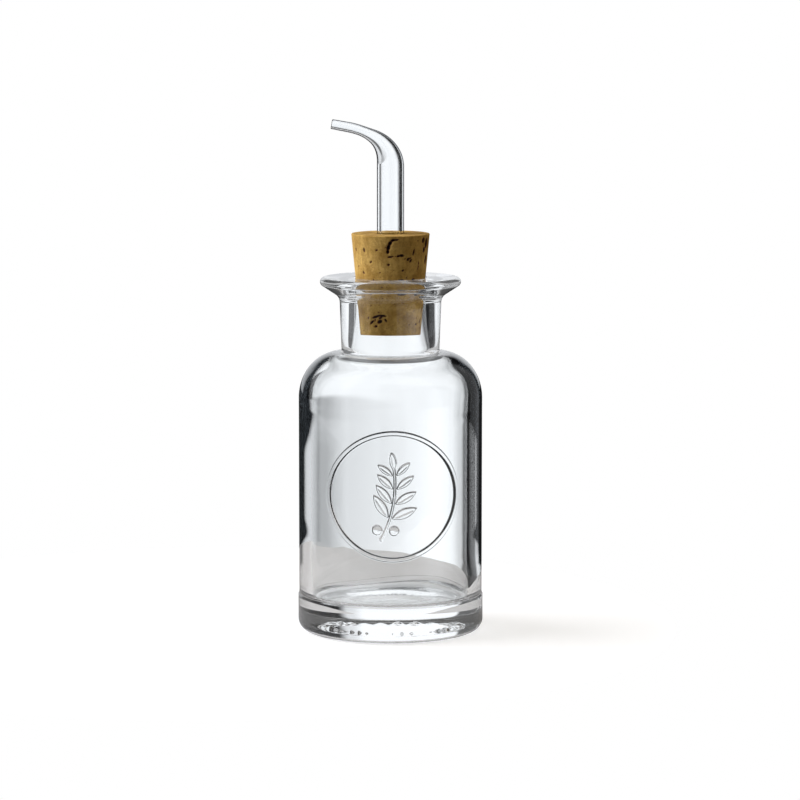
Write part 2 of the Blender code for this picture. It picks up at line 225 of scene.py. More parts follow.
class Nodes:
    """The node tree of one material or of the world, emptied."""

    def __init__(self, owner):
        owner.use_nodes = True
        self.tree = owner.node_tree
        self.tree.nodes.clear()

    def add(self, kind, settings=None, **values):
        """A node of that kind. Its settings are set first, then its inputs, each by its name with _ for a
        space, or by its number after _."""
        node = self.tree.nodes.new("ShaderNode" + kind)
        for name, value in (settings or {}).items():
            setattr(node, name, value)
        for name, value in values.items():
            plug(node.inputs[int(name[1:]) if name[1:].isdigit() else name.replace("_", " ")], value)
        return node

    def number(self, kind, settings=None, output=0, **values):
        """One output of a new node as a Wire."""
        return Wire(self.add(kind, settings, **values).outputs[output])

    def ramped(self, value, low, high):
        """0 where value is at low, 1 where it is at high, eased between. low may be above high."""
        return self.number("MapRange", {"interpolation_type": "SMOOTHSTEP"}, Value=value, From_Min=low,
                           From_Max=high, To_Min=0.0, To_Max=1.0)

    def reached(self, count, least):
        """1 where a whole number is least or more, and 0 elsewhere."""
        return self.ramped(count, least - 0.6, least - 0.4)

    def mixed(self, factor, first, second):
        """The colour between first and second. A Mix node's colours are inputs 6 and 7 and output 2."""
        return self.add("Mix", {"data_type": "RGBA"}, Factor=factor, _6=first, _7=second).outputs[2]


def seal_relief(across, up):
    """Height of the raised seal at a place across and up from its centre, as seen from the front: the round
    rib has a flat top and eased flanks, and the sprig's twig, leaves and berries are hills."""
    ring = rib_rise * eased((rib_width - np.abs(np.hypot(across, up) - seal_radius)) / rib_flank)
    return np.maximum(ring, sprig_relief(across, up))


twig_length, twig_turn, twig_lean, sprig_drop = 26.0 * MM, np.radians(36.0), np.radians(80.0), 3.0 * MM
twig_bow = twig_length / twig_turn
twig_width, twig_rise = 0.62 * MM, 0.5 * MM
leaf_length, leaf_width, leaf_rise, leaf_angle = 9.8 * MM, 3.6 * MM, 0.5 * MM, np.radians(50.0)
leaf_edge, leaf_stalk, tip_overlap = 0.42 * MM, 0.6 * MM, 1.0 * MM
vein_width, vein_depth, vein_end, vein_fade = 0.3 * MM, 0.35, 0.8, 0.3
berry_radius, berry_rise, berry_stalk = 1.75 * MM, 0.8 * MM, 1.0 * MM
leaf_places, berry_places, last_leaf = (0.3, 0.5, 0.7, 0.88), (0.1, 0.18), 0.7


def twig_place(share):
    """Across, up and heading at a share of the twig, which is an arc of twig_turn leaning by twig_lean."""
    turn = twig_turn * (share - 0.5)
    along, rise = twig_bow * np.sin(turn), twig_bow * (1 - np.cos(turn))
    across = along * np.cos(twig_lean) - rise * np.sin(twig_lean)
    up = along * np.sin(twig_lean) + rise * np.cos(twig_lean) - sprig_drop
    return across, up, twig_lean + turn


def leaf_relief(across, up, place, heading, length, width):
    """A pointed leaf about its place. Half its width at u along it is w = 1 - u^2, and it is flat but for
    its edge, which is eased down over leaf_edge, and a fine vein sunk along the middle."""
    u = ((across - place[0]) * np.cos(heading) + (up - place[1]) * np.sin(heading)) / (length / 2)
    v = (up - place[1]) * np.cos(heading) - (across - place[0]) * np.sin(heading)
    inward = np.clip(1 - u * u, 0.0, 1.0) * width / 2 - np.abs(v)
    vein = vein_depth * np.exp(-((v / vein_width) ** 2)) * eased((vein_end - np.abs(u)) / vein_fade)
    return leaf_rise * eased(inward / leaf_edge) * (1 - vein)


def sprig_relief(across, up):
    """The highest of the twig, its pairs of leaves, the leaf at its tip and its two berries. The twig is
    a hill across its arc, and a berry is a cap: (1 - far^2)^0.6, with far as a share of its radius."""
    middle = twig_place(0.5)
    centre = (middle[0] - twig_bow * np.sin(twig_lean), middle[1] + twig_bow * np.cos(twig_lean))
    away = np.arctan2(across - centre[0], -(up - centre[1])) - twig_lean
    off = np.hypot(across - centre[0], up - centre[1]) - twig_bow
    past = np.maximum(np.abs(away) - twig_turn / 2, 0.0) * twig_bow
    height = twig_rise * bump(np.hypot(off, past) / twig_width)
    for number, share in enumerate(leaf_places):
        size = 1 + (last_leaf - 1) * number / (len(leaf_places) - 1)
        x, y, heading = twig_place(share)
        for side in (1, -1):
            way = heading + side * leaf_angle
            reach = leaf_length * size / 2 + leaf_stalk
            place = (x + reach * np.cos(way), y + reach * np.sin(way))
            leaf = leaf_relief(across, up, place, way, leaf_length * size, leaf_width * size)
            height = np.maximum(height, leaf)
    x, y, heading = twig_place(1.0)
    reach = leaf_length * last_leaf / 2 - tip_overlap
    place = (x + reach * np.cos(heading), y + reach * np.sin(heading))
    tip = leaf_relief(across, up, place, heading, leaf_length * last_leaf, leaf_width * last_leaf)
    height = np.maximum(height, tip)
    for number, share in enumerate(berry_places):
        x, y, heading = twig_place(share)
        side = -1 if number % 2 else 1
        reach = berry_stalk + berry_radius
        place = (x - side * reach * np.sin(heading), y + side * reach * np.cos(heading))
        far = np.hypot(across - place[0], up - place[1]) / berry_radius
        height = np.maximum(height, berry_rise * np.clip(1 - far**2, 0.0, 1.0) ** 0.6)
    return height


def under_profile(low, high, count):
    """The hollow under the bottle from radius low to high: a dome z = ring + depth * (1 - (r / radius)^2)
    in the middle, and round it a shallow flat."""
    r = np.linspace(low, high, count)
    dome = (punt_depth - ring_depth) * np.clip(1 - (r / punt_radius) ** 2, 0.0, 1.0)
    return np.column_stack([r, ring_depth + dome])


def heel_profile():
    """The edge of the hollow, the ring the bottle stands on and the heel, going out and up."""
    edge = rounded((standing_radius - 2 * ring_depth, ring_depth), (standing_radius, ring_depth),
                   (standing_radius + ring_depth, 0.0), ring_depth, 5)
    ring = run((standing_radius + 1.2 * ring_depth, 0.0), (heel_radius, 0.0), 3)
    return np.vstack([edge, ring, arc((heel_radius, heel_round), (heel_round, heel_round), -90, 0, 14)])


def band_profile():
    """The foot band, its seam and the wall up to the seal's zone. The seam is eased in by band_step, with a
    groove of seam_groove * sin^2 along it, and the straight runs stop a little short of it."""
    band_low, band_high, wall_low = heel_round + 0.6 * MM, band_height - 0.5 * MM, band_height + 0.8 * MM
    band = run((foot_radius, band_low), (foot_radius, band_high), 4)
    share = np.linspace(0.0, 1.0, 9)
    groove = seam_groove * np.sin(np.pi * share) ** 2
    seam = np.column_stack([foot_radius - band_step * eased(share) - groove,
                            band_height - seam_drop + seam_height * share])
    return np.vstack([band, seam, run((body_radius, wall_low), (body_radius, seal_height - seal_zone), 6)])


def shoulder_profile():
    """The wall above the seal's zone, the shoulder, neck and lip, going up to the lip's top. The shoulder
    is a quarter of an ellipse, and the lip's nose an arc that leaves the underside along its slope."""
    wall = run((body_radius, body_top), (body_radius, seal_height + seal_zone), 3)[::-1]
    shoulder = arc((dome_start, body_top), (body_radius - dome_start, shoulder_rise), 0, 90, 34)[:-1]
    neck_foot = arc((dome_start, neck_foot_height + neck_foot_round), (neck_foot_round, neck_foot_round),
                    270, 180, 9)
    root = (neck_radius, bottle_height - flange_depth)
    slope = np.degrees(np.arctan2(flange_depth - flange_edge, nose_radius - neck_radius))
    nose = arc((nose_radius, bottle_height - nose_half), (nose_half, nose_half), slope - 90, 90, 22)
    fillet = rounded((neck_waist, neck_foot_height), root, nose[0], flange_root, 9)
    neck = run(neck_foot[-1], fillet[0], 10)[1:]
    underside = run(fillet[-1], nose[0], 5)[1:]
    return np.vstack([wall[:-1], shoulder, neck_foot, neck, fillet, underside, nose])


def inside_profile():
    """The lip's top, the mouth's round edge, the bore, which flares with the square of the way down, the
    throat as a cubic curve, the shoulder as an ellipse beside the outer one, and the wall, the corner and
    the floor, which is dished by the square of its radius and has a faint step."""
    lip = run((nose_radius, bottle_height), (bore_radius + mouth_round, bottle_height), 5)[1:]
    mouth = arc((bore_radius + mouth_round, bottle_height - mouth_round), (mouth_round, mouth_round),
                90, 180, 9)
    share = np.linspace(0.0, 1.0, 9)
    flare = np.column_stack([bore_radius + bore_flare * share**2,
                             flare_top + (flare_foot - flare_top) * share])
    bore = run(mouth[-1], flare[0], 6)[1:]
    inner = body_radius - body_wall
    wide, tall = inner - dome_start, shoulder_rise - shoulder_wall
    dome = arc((dome_start, body_top), (wide, tall), dome_turn, 0, 18)
    down = np.array([2 * bore_flare / (flare_top - flare_foot), -1.0])
    along = np.array([-wide * np.sin(np.radians(dome_turn)), tall * np.cos(np.radians(dome_turn))])
    along = along / np.linalg.norm(along)
    top_steer, foot_steer = flare[-1] + down * throat_top_pull, dome[0] + along * throat_foot_pull
    s = np.linspace(0.0, 1.0, 26)[1:, None]
    throat = flare[-1] * (1 - s) ** 3 + top_steer * 3 * s * (1 - s) ** 2
    throat = throat + foot_steer * 3 * s**2 * (1 - s) + dome[0] * s**3
    edge = floor_thickness + floor_dish
    corner = arc((inner - floor_corner, edge + corner_rise), (floor_corner, corner_rise), 0, -90, 14)
    wall = run(dome[-1], corner[0], 24)[1:]
    share = np.linspace(1.0, 0.0, 30)[1:]
    step = eased((share - step_share) / step_width) - eased((1 - step_share) / step_width)
    floor = np.column_stack([corner[-1, 0] * share,
                             floor_thickness + (floor_dish * share**2 + floor_step * step)])
    return np.vstack([lip, mouth, bore, flare, throat, dome[1:], wall, corner, floor])


# The seal's zone of the front wall is a net of its own, whose rings follow the rib. Spokes run from the
# seal's centre to the sides of a square, and the wall's grid has that square left out.
side_spokes, back_columns = 74, 60
fan = np.tan(np.radians(np.linspace(-45.0, 45.0, side_spokes + 1)))
front_turns = np.arcsin(seal_zone * fan / body_radius)
first_turn = front_turns[0]
back_turns = np.linspace(-first_turn, first_turn + 2 * np.pi, back_columns + 2)[1:-1]
zone_turns = np.concatenate([front_turns, back_turns])
zone_rows = seal_height + seal_zone * fan
zone_profile = np.column_stack([np.full(len(zone_rows), body_radius), zone_rows])
side_across = np.concatenate([fan[:-1], np.ones(side_spokes), fan[:0:-1], -np.ones(side_spokes)])
side_up = np.concatenate([-np.ones(side_spokes), fan[:-1], np.ones(side_spokes), fan[:0:-1]])
square_reach = seal_zone * np.hypot(side_across, side_up)
rib_inside, rib_outside = seal_radius - rib_width, seal_radius + rib_width
hub_ring, sprig_reach, flat_start = 0.15 * MM, 16.4 * MM, 17.2 * MM
ring_radii = np.concatenate([
    np.linspace(hub_ring, sprig_reach, 84), np.linspace(flat_start, rib_inside - 0.5 * MM, 5),
    np.linspace(rib_inside - 0.1 * MM, rib_outside + 0.1 * MM, 26), [rib_outside + 0.6 * MM]])
outward = np.linspace(0.0, 1.0, 7)[1:-1, None]
reach = np.vstack([np.repeat(ring_radii[:, None], 4 * side_spokes, axis=1),
                   ring_radii[-1] + (square_reach - ring_radii[-1]) * outward])
across, up = reach * side_across * seal_zone / square_reach, reach * side_up * seal_zone / square_reach
spoke_turns = np.arcsin(across / body_radius)
spoke_radius = body_radius + seal_relief(across, up)
spoke_grid = np.stack([spoke_radius * np.sin(spoke_turns), -spoke_radius * np.cos(spoke_turns),
                       seal_height + up], axis=2)

# Rows round the rest of the bottle. The knurls under it are waves whose spacing and height vary with the
# turn. So does the inner wall's radius, by up to wall_waviness, which fades out at wave_low and wave_high.
wall_columns, knurl_columns, knurl_rows, knurl_gap = 124, 240, 12, 0.4 * MM
rest_turns = first_turn + np.radians(np.linspace(0.0, 360.0, wall_columns, endpoint=False))
knurl_turns = first_turn + np.radians(np.linspace(0.0, 360.0, knurl_columns, endpoint=False))
middle = turned_grid(under_profile(1.0 * MM, knurl_low - knurl_gap, 12), rest_turns)
knurl = turned_grid(under_profile(knurl_low, knurl_high, knurl_rows), knurl_turns)
bars = 0.5 + 0.5 * np.sin(knurl_bars * knurl_turns + 1.6 * np.sin(3 * knurl_turns + 1.0))
bars = bars * (0.7 + 0.3 * np.sin(7 * knurl_turns))
knurl[:, :, 2] += knurl_rise * bump(np.linspace(-1, 1, knurl_rows))[:, None] * bars
ring_profile = under_profile(knurl_high + knurl_gap, standing_radius - 0.8 * MM, 10)
low_profile = np.vstack([ring_profile, heel_profile(), band_profile()])
high_outside = shoulder_profile()
high_profile = np.vstack([high_outside, inside_profile()])[:-1]
is_inside = np.arange(len(high_profile)) >= len(high_outside) - 1
near_wall = is_inside & (high_profile[:, 0] > body_radius - body_wall - floor_corner)
wave_low, wave_high, height_mm = 19.0, 90.0, high_profile[:, 1, None] / MM
fade = near_wall[:, None] * eased((height_mm - wave_low) / 9.0) * eased((wave_high - height_mm) / 12.0)
uneven = 0.6 * np.sin(2 * rest_turns + 0.4) + 0.4 * np.sin(3 * rest_turns - 0.3)
bottle_grids = [middle, knurl, turned_grid(low_profile, rest_turns), turned_grid(zone_profile, zone_turns),
                turned_grid(high_profile, rest_turns, fade * wall_waviness * uneven)]
bottle_turns = [rest_turns, knurl_turns, rest_turns, zone_turns, rest_turns]
points, quads, triangles, numbers = turned_net(bottle_grids, bottle_turns, "poles")
zone = numbers[3]
hidden = np.zeros(len(points), bool)
hidden[zone[1:-1, 1:side_spokes]] = True
quads = quads[~hidden[quads].any(axis=1)]
square = np.concatenate([zone[0, :side_spokes], zone[:-1, side_spokes], zone[-1, side_spokes:0:-1],
                         zone[:0:-1, 0]])
spokes = np.arange(across.size).reshape(across.shape) + len(points)
spokes = np.vstack([spokes, square])
spokes = np.hstack([spokes, spokes[:, :1]])
spoke_quads = np.stack([spokes[:-1, :-1], spokes[1:, :-1], spokes[1:, 1:], spokes[:-1, 1:]], axis=2)
hub = len(points) + across.size
hub_faces = np.stack([np.full(4 * side_spokes, hub), spokes[0, :-1], spokes[0, 1:]], axis=1)
points = np.vstack([points, spoke_grid.reshape(-1, 3), spoke_grid[0].mean(axis=0)[None]])
kept = np.append(~hidden, np.ones(len(points) - len(hidden), bool))
renumbered = np.cumsum(kept) - 1
bottle = smooth_mesh("moulded_bottle", points[kept],
                     renumbered[np.vstack([quads, spoke_quads.reshape(-1, 4)])],
                     renumbered[np.vstack([triangles, hub_faces])])


def edge_share(profile, inner):
    """How much the glass of each row stands on edge: the square of the upright share of a step along the
    profile, from 0 on the flat lip to 1 on the upright outer wall, and 0 on the inner rows."""
    step = np.gradient(profile, axis=0)
    return np.where(inner, 0.0, (step[:, 1] / np.hypot(step[:, 0], step[:, 1])) ** 2)


# Painted dark outline: the glass's colour is darkened towards its outline, the more, the higher this
# attribute is, in place of the dark studio that the glass would show there. It is set by height on the
# wall, and the shoulder has less of it the more it leans. The seal's steep flanks have more, which paints
# its dark lines.
wall_share, low_share, neck_share = 0.92, 0.5, 0.42
steepest, steep_gain = 1.9, 0.78
lean = np.degrees(np.arccos(np.sqrt(edge_share(high_profile, is_inside))))
shoulder_edge = np.interp(lean, [0, 20, 33, 45, 60, 75, 90], [1.22, 1.16, 1.1, 1.04, 0.92, 0.6, 0.2])
high_edge = np.where(high_profile[:, 1] > neck_foot_height, neck_share, shoulder_edge)
high_edge = np.where(is_inside, 0.0, high_edge)


def wall_outline_shade(heights, turns):
    """The attribute of the painted dark outline on the upright wall, by height in mm: wall_share, more from
    66 up, where the limit waves with the turn, a hill at 80 and one at 36.5, and less below 36."""
    edge = wall_share + 0.30 * eased((heights - 66.0 - 2.0 * np.sin(turns)) / 11.0)
    edge = edge + 0.1 * bump((heights - 80.0) / 6.0) + 0.14 * bump((heights - 36.5 + np.sin(turns)) / 5.0)
    return edge - 0.16 * (1 - eased((heights - 32.0) / 4.0))


def seal_steepness(across, up):
    """How steep the raised seal is, as rise over run up to steepest, from its heights on every side."""
    step = 0.05 * MM
    side = seal_relief(across + step, up) - seal_relief(across - step, up)
    rise = seal_relief(across, up + step) - seal_relief(across, up - step)
    return np.minimum(np.hypot(side, rise) / (2 * step), steepest)


# In the order of the points: the hollow's middle and knurls, the low rows, the seal's zone, the high
# rows, the two poles, the spokes and their hub.
edges = np.concatenate([
    np.zeros(middle[:, :, 0].size + knurl[:, :, 0].size),
    np.repeat(low_share * edge_share(low_profile, False), len(rest_turns)),
    wall_outline_shade(zone_rows[:, None] / MM, zone_turns[None, :]).ravel(),
    np.repeat(high_edge, len(rest_turns)), [0.0, 0.0],
    (wall_outline_shade((seal_height + up) / MM, spoke_turns) + steep_gain * seal_steepness(across, up)).ravel(),
    [wall_share]])[kept]
bottle.data.attributes.new("edge", "FLOAT", "POINT").data.foreach_set("value", edges.astype(np.float32))


def glass_material(name, tint, painted_outline_tint, waviness, lip_glow, glow):
    """Clear glass. Its colour is painted dark towards its outline, by the "edge" attribute and by how far
    it
    faces away: a painted dark outline, standing in for the dark studio that its edges show. Faint waves in
    its surface come from a noise. A ray that the glass has turned back four times, or that has met twelve
    surfaces, is given up by the renderer and would leave a black spot, so there the glass glows grey,
    painted light in place of what the ray would have met: lip_glow in the lip and glow below it."""
    made = bpy.data.materials.new(name)
    nodes = Nodes(made)
    coordinates = nodes.add("TexCoord").outputs["Object"]
    facing = nodes.number("LayerWeight", output="Facing", Blend=0.5)
    edge = nodes.number("Attribute", {"attribute_name": "edge"}, output="Fac")
    # Painted dark outline: where the glass faces away and the attribute is high, its colour goes to the
    # dark tint.
    outline = nodes.ramped(facing + edge * 0.5, 1.05, 1.15)
    colour = nodes.mixed(outline, (*tint, 1.0), (*painted_outline_tint, 1.0))
    waves = nodes.number("TexNoise", Vector=coordinates, Scale=90.0, Detail=1.0)
    bumped = nodes.add("Bump", Strength=waviness, Distance=0.5 * MM, Height=waves)
    path = nodes.add("LightPath")
    # Painted light: where the renderer gives a ray up, the glass glows grey instead of leaving black.
    turned_back = nodes.reached(Wire(path.outputs["Glossy Depth"]), 4)
    last = turned_back.math("MAXIMUM", nodes.reached(Wire(path.outputs["Ray Depth"]), 12))
    lip_low, lip_high = 103.0 * MM, 109.0 * MM
    in_lip = nodes.ramped(nodes.number("SeparateXYZ", output="Z", Vector=coordinates), lip_low, lip_high)
    grey = nodes.mixed(in_lip, (glow, glow, glow, 1.0), (lip_glow, lip_glow, lip_glow, 1.0))
    stand_in_glow = nodes.mixed(last, (0.0, 0.0, 0.0, 1.0), grey)
    shader = nodes.add("BsdfPrincipled", Base_Color=colour, Roughness=0.0, IOR=1.52,
                       Transmission_Weight=1.0, Emission_Color=stand_in_glow, Emission_Strength=1.0,
                       Normal=bumped.outputs[0])
    nodes.add("OutputMaterial", Surface=shader.outputs[0])
    return made


# The bottle's outline is painted near black, and it glows grey where a ray is given up, as painted light.
bottle.data.materials.append(glass_material(
    "clear_moulded_glass", tint=(0.985, 0.992, 0.99), painted_outline_tint=(0.001, 0.0013, 0.0016), waviness=0.05,
    lip_glow=0.27, glow=0.055))
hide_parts("glass_bottle")
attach(bottle, "bottle")


# Cork stopper. Natural cork, cut as a taper and bored through for the tube, with dark pits where its grain
# is open. It is pushed into the neck and holds there by friction.
cork_low, cork_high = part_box("cork_stopper")
cork_foot, cork_top = cork_low.z, cork_high.z
cork_length = cork_top - cork_foot
cork_top_radius, cork_foot_radius, cork_bore, cork_edge = 13.85 * MM, 10.6 * MM, 5.0 * MM, 0.3 * MM


def cork_profile():
    """The bore going down, then the foot, the tapered side going up, and the top, each edge a small arc."""
    flank = np.degrees(np.arctan((cork_top_radius - cork_foot_radius) / cork_length))
    edge = cork_edge
    bore = run((cork_bore, cork_top - edge), (cork_bore, cork_foot + edge), 12)
    foot_run = run((cork_bore + edge, cork_foot), (cork_foot_radius - edge, cork_foot), 10)
    foot = arc((cork_foot_radius - edge, cork_foot + edge), (edge, edge), -90, -flank, 6)
    top = arc((cork_top_radius - edge, cork_top - edge), (edge, edge), -flank, 90, 7)
    side = run(foot[-1], top[0], 120)[1:]
    top_run = run(top[-1], (cork_bore + edge, cork_top), 16)[1:]
    mouth = arc((cork_bore + edge, cork_top - edge), (edge, edge), 90, 180, 5)[:-1]
    return np.vstack([bore, foot_run, foot, side, top, top_run, mouth])


cork_columns = 300
cork_turns = np.radians(np.linspace(-180, 180, cork_columns, endpoint=False))
cork_outline = cork_profile()
# Pits in the side as (turn, height over the foot, half length, half width, lean, depth), in mm and degrees.
# The first ones are the large open pits, most of them at the front, and the rest are scattered pores.
pit_rows = [
    (7.5, 33.6, 0.9, 0.35, 10, 0.8), (2.5, 33.5, 1.1, 0.5, 15, 0.9), (-2.0, 32.4, 1.1, 0.75, 50, 1.1),
    (-4.6, 30.9, 1.3, 0.8, 75, 1.2), (-5.6, 29.4, 0.9, 0.6, 100, 1.1), (-1.5, 27.6, 1.3, 0.35, 5, 0.6),
    (10.5, 27.8, 0.7, 0.42, 0, 0.9), (15.6, 28.0, 1.0, 0.62, -10, 1.0), (26.6, 26.6, 0.75, 0.5, 55, 0.9),
    (36.3, 29.0, 1.4, 0.36, 78, 0.8), (-4.5, 24.8, 0.55, 0.45, 0, 0.6), (18.5, 22.7, 0.6, 0.4, 40, 0.6),
    (48.0, 23.5, 1.1, 0.3, 80, 0.5), (57.0, 33.0, 1.2, 1.0, 75, 1.2), (68.0, 31.8, 2.2, 1.4, 80, 1.2),
    (61.0, 29.6, 1.2, 1.0, 80, 1.0), (71.0, 26.0, 1.9, 1.2, 80, 1.0), (14.7, 19.1, 1.8, 0.5, 5, 0.8),
    (38.0, 19.3, 0.9, 0.5, 20, 0.8), (-35.0, 4.6, 1.3, 0.4, 42, 0.8), (-26.5, 6.6, 1.9, 0.5, 20, 0.9),
    (-15.5, 7.0, 1.7, 0.42, -8, 0.8), (-20.0, 4.9, 1.1, 0.75, 25, 1.0), (-9.5, 5.4, 0.8, 0.4, -50, 0.7),
    (-27.5, 3.2, 0.7, 0.45, 10, 0.7), (62.0, 9.0, 1.2, 0.5, 80, 0.7), (66.0, 12.0, 1.4, 0.5, 80, 0.9),
    (60.0, 5.0, 1.3, 0.5, 60, 0.7), (48.0, 3.8, 0.6, 0.4, 30, 0.6), (150.0, 27.0, 1.6, 0.6, 70, 1.0),
    (168.0, 20.0, 1.2, 0.5, 20, 0.9), (-150.0, 24.0, 1.5, 0.6, 60, 1.0), (-120.0, 30.0, 1.1, 0.6, 80, 1.0),
    (110.0, 22.0, 1.5, 0.5, 100, 0.9),
]
pore_count, pore_least, pore_spread = 170, 0.13, 0.36
chance = np.random.default_rng(11)
for _ in range(pore_count):
    size = pore_least + pore_spread * chance.random() ** 3
    pit_rows.append((chance.uniform(-180, 180), chance.uniform(1.0, 34.0), size * chance.uniform(1.0, 2.4),
                     size, chance.normal(60, 35), 0.15 + 0.7 * size))


def pitted(turns, heights):
    """How deep the side is pitted, in metres, and how dark, from 0 to 1. Each pit is a hill of the sum of
    squares along and across it, upside down, that ends a little beyond its half length and width."""
    depth = np.zeros(np.broadcast(turns, heights).shape)
    dark = np.zeros_like(depth)
    for turn, height, half_length, half_width, lean, deep in pit_rows:
        share = height * MM / cork_length
        radius = cork_foot_radius + (cork_top_radius - cork_foot_radius) * share
        away = (turns - np.radians(turn) + np.pi) % (2 * np.pi) - np.pi
        x, y = away * radius, heights - height * MM
        lean = np.radians(lean)
        u = (x * np.cos(lean) + y * np.sin(lean)) / (half_length * MM)
        v = (y * np.cos(lean) - x * np.sin(lean)) / (half_width * MM)
        near = bump(np.sqrt(u * u + v * v) / 1.15)
        depth = np.maximum(depth, deep * MM * near)
        dark = np.maximum(dark, eased(near * 1.5) * min(1.0, 0.25 + deep))
    return depth, dark


pit_depth, pit_dark = pitted(cork_turns[None, :], cork_outline[:, 1, None] - cork_foot)
on_side = (cork_outline[:, 0] > cork_foot_radius - 0.4 * MM) & (cork_outline[:, 1] < cork_top - 0.2 * MM)
cork_grid = turned_grid(cork_outline, cork_turns, -np.where(on_side[:, None], pit_depth, 0.0))
cork_stopper = smooth_mesh("natural_cork_stopper", *turned_net([cork_grid], [cork_turns], "joined")[:3])
pit_attribute = cork_stopper.data.attributes.new("pit", "FLOAT", "POINT")
pit_shade = np.where(on_side[:, None], pit_dark, 0.0).astype(np.float32)
pit_attribute.data.foreach_set("value", pit_shade.ravel())


def cork_material():
    """Natural cork: warm tan with soft darker clouds, fine grain, faint streaks up its length and dark
    pits, each with a reddish rim."""
    tan, cloud, speck = (0.55, 0.35, 0.095, 1.0), (0.33, 0.18, 0.03, 1.0), (0.19, 0.095, 0.012, 1.0)
    pit_rim, pit_bottom = (0.13, 0.045, 0.015, 1.0), (0.022, 0.008, 0.006, 1.0)
    made = bpy.data.materials.new("bare_natural_cork")
    nodes = Nodes(made)
    place = nodes.add("TexCoord").outputs["Object"]
    clouds = nodes.number("TexNoise", Vector=place, Scale=170.0, Detail=4.0, Roughness=0.6)
    grain = nodes.number("TexNoise", Vector=place, Scale=1400.0, Detail=3.0, Roughness=0.7)
    stretched = nodes.add("Mapping", Vector=place, Scale=(1.0, 1.0, 0.22)).outputs[0]
    streaks = nodes.number("TexNoise", Vector=stretched, Scale=900.0, Detail=2.0)
    pits = nodes.number("Attribute", {"attribute_name": "pit"}, output="Fac")
    base = nodes.mixed(nodes.ramped(clouds, 0.35, 0.75), tan, cloud)
    specks = nodes.ramped(grain * 0.6 + streaks * 0.4, 0.40, 0.64)
    base = nodes.mixed(specks * 0.5, base, speck)
    rim = nodes.mixed(nodes.ramped(pits, 0.0, 0.45), base, pit_rim)
    colour = nodes.mixed(nodes.ramped(pits, 0.3, 1.0), rim, pit_bottom)
    relief = grain * 0.5 + clouds * 0.5
    bumped = nodes.add("Bump", Strength=0.35, Distance=0.3 * MM, Height=relief)
    shader = nodes.add("BsdfPrincipled", Base_Color=colour, Roughness=0.82 + grain * 0.15, IOR=1.4,
                       Normal=bumped.outputs[0])
    nodes.add("OutputMaterial", Surface=shader.outputs[0])
    return made


cork_stopper.data.materials.append(cork_material())
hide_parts("cork_stopper")
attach(cork_stopper, "stopper")


# Glass pouring tube. Drawn from stock glass tube: a straight stem through the cork, bent over a flame and
# pulled down to a thin nozzle, whose tip is rounded in the flame.
tube_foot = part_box("pouring_tube")[0].z
tube_radius, tube_wall, stem_length = 4.8 * MM, 1.4 * MM, 58.7 * MM
bend_radius, bend_turn, sweep_radius, sweep_turn = 12.0 * MM, np.radians(60.0), 28.0 * MM, np.radians(19.5)
nozzle_length, drawn_length = 6.0 * MM, 17.5 * MM
nozzle_root, nozzle_tip, nozzle_wall = 2.1 * MM, 1.75 * MM, 0.5 * MM
foot_half, tip_half = 0.5 * MM, nozzle_wall / 2
bend_length = bend_radius * bend_turn + sweep_radius * sweep_turn
tube_length = stem_length + bend_length + nozzle_length


def tube_line(travel):
    """Place and heading at each travel along the centre line: straight up the stem, a bend, a wider sweep,
    and straight along the nozzle. The curvature is 1 / radius, with its steps eased over soft, the heading
    is its integral, and the place is the integral of the heading's cosine and sine."""
    fine, soft = np.linspace(0.0, tube_length, 4001), 1.0 * MM
    first, second = stem_length, stem_length + bend_radius * bend_turn
    rise = eased((fine - first) / soft + 0.5)
    change = eased((fine - second) / soft + 0.5)
    fall = eased((fine - second - sweep_radius * sweep_turn) / soft + 0.5)
    curvature = (rise - change) / bend_radius + (change - fall) / sweep_radius
    pace = fine[1] - fine[0]
    heading = np.pi / 2 + (np.cumsum(curvature) - curvature / 2) * pace
    x = (np.cumsum(np.cos(heading)) - np.cos(heading) / 2) * pace
    z = (np.cumsum(np.sin(heading)) - np.sin(heading) / 2) * pace
    return np.interp(travel, fine, x), np.interp(travel, fine, z), np.interp(travel, fine, heading)


def drawn_radius(travel, full, root, tip):
    """The radius at each travel: full on the stem, eased down over drawn_length to the nozzle's own taper,
    which runs straight from root to tip."""
    past = travel - stem_length
    left = 1 - eased(past / drawn_length)
    taper = root + (tip - root) * np.clip(past / (bend_length + nozzle_length), 0.0, 1.0)
    return taper + (full - root) * left


tube_columns = 56
tube_turns = np.radians(np.linspace(0, 360, tube_columns, endpoint=False))
stem_rows = np.linspace(foot_half, stem_length - 1.0 * MM, 24)
bend_rows = np.linspace(stem_length - 0.5 * MM, tube_length - tip_half, 84)
travel_out = np.concatenate([stem_rows, bend_rows])
outer = drawn_radius(travel_out, tube_radius, nozzle_root, nozzle_tip)
inner = drawn_radius(travel_out, tube_radius - tube_wall, nozzle_root - nozzle_wall,
                     nozzle_tip - nozzle_wall)
tip_round = arc((tube_length - tip_half, nozzle_tip - tip_half), (tip_half, tip_half), 90, -90, 11)[1:-1]
foot_round = arc((foot_half, tube_radius - tube_wall / 2), (foot_half, tube_wall / 2), 270, 90, 9)[1:-1]
tube_travel = np.concatenate([travel_out, tip_round[:, 0], travel_out[::-1], foot_round[:, 0]])
tube_size = np.concatenate([outer, tip_round[:, 1], inner[::-1], foot_round[:, 1]])
line_x, line_z, line_heading = tube_line(np.clip(tube_travel, 0.0, tube_length))
side_x, side_z = np.sin(line_heading), -np.cos(line_heading)
tube_grid = np.stack([
    line_x[:, None] + tube_size[:, None] * side_x[:, None] * np.cos(tube_turns),
    tube_size[:, None] * np.sin(tube_turns),
    tube_foot + line_z[:, None] + tube_size[:, None] * side_z[:, None] * np.cos(tube_turns)], axis=2)
pouring_tube = smooth_mesh("drawn_pouring_tube", *turned_net([tube_grid], [tube_turns], "joined")[:3])
